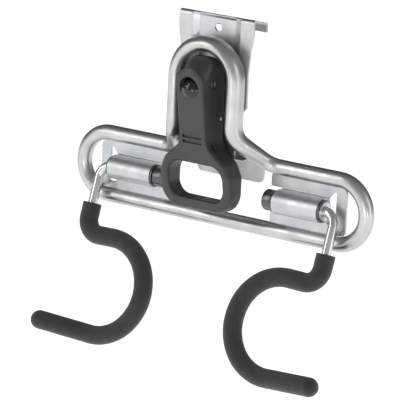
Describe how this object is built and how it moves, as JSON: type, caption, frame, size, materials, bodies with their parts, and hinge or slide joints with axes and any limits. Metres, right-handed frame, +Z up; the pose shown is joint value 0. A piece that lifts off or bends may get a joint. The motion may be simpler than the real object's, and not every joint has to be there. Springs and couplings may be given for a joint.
{
  "type": "bicycle wall rack",
  "caption": "Wall rack that hangs on a storage rail: bent-tube frame, foam-covered fold-down hooks in hinge barrels, and a looped lever that locks it to the rail.",
  "frame": {"origin": "on the bracket foot's wall-contact face, on the middle plane, 10 mm above the foot's lower edge", "axes": "+Y into the wall, +Z up, +X to the right seen from the front; the hooks and lever face -Y"},
  "size_m": [0.2988, 0.0807, 0.2878],
  "materials": {
    "zinc_sheet": "bright zinc plate, satin",
    "zinc_tube": "bright zinc plate, smooth drawn tube",
    "zinc_rod": "bright zinc plate, smooth bar",
    "zinc_hardware": "zinc plated",
    "spring_steel": "drawn spring wire",
    "lever_plastic": "fine moulded grain",
    "gloss_black": "gloss",
    "black_nylon": "satin moulded",
    "foam": "matte closed-cell foam"
  },
  "bodies": {
    "frame": {"rail_bracket": "zinc_sheet", "lever_clevis": "zinc_sheet", "clevis_rivets": "zinc_hardware", "arch_tube": "zinc_tube", "ring_tube": "zinc_tube", "right_hinge_plate": "zinc_sheet", "left_hinge_plate": "zinc_sheet", "right_barrel_strap": "zinc_sheet", "left_barrel_strap": "zinc_sheet", "right_inner_bush": "black_nylon", "left_inner_bush": "black_nylon", "right_outer_bush": "black_nylon", "left_outer_bush": "black_nylon"},
    "lever": {"lock_lever": "lever_plastic", "dome_cap": "gloss_black", "lever_pivot_pin": "zinc_hardware", "latch_cross_pin": "zinc_hardware", "lever_rear_pin": "zinc_hardware", "pivot_washers": "black_nylon", "lever_return_spring": "spring_steel", "latch_tongue": "zinc_hardware"},
    "right_hook": {"right_hook_rod": "zinc_rod", "right_hook_sleeve": "foam", "right_pin_cap": "black_nylon"},
    "left_hook": {"left_hook_rod": "zinc_rod", "left_hook_sleeve": "foam", "left_pin_cap": "black_nylon"}
  },
  "joints": [
    {"name": "lever_pull", "type": "hinge", "parent": "frame", "child": "lever", "pos_m": [0, -0.0492, 0.0745], "axis": [-1, 0, 0], "range_deg": [0, 20], "stiffness_Nm_per_rad": 0.3, "springref_deg": -28.65},
    {"name": "right_hook_fold", "type": "hinge", "parent": "frame", "child": "right_hook", "pos_m": [0.084, -0.021, -0.017], "axis": [-1, 0, 0], "range_deg": [0, 80]},
    {"name": "left_hook_fold", "type": "hinge", "parent": "frame", "child": "left_hook", "pos_m": [-0.084, -0.021, -0.017], "axis": [-1, 0, 0], "range_deg": [0, 80]}
  ]
}
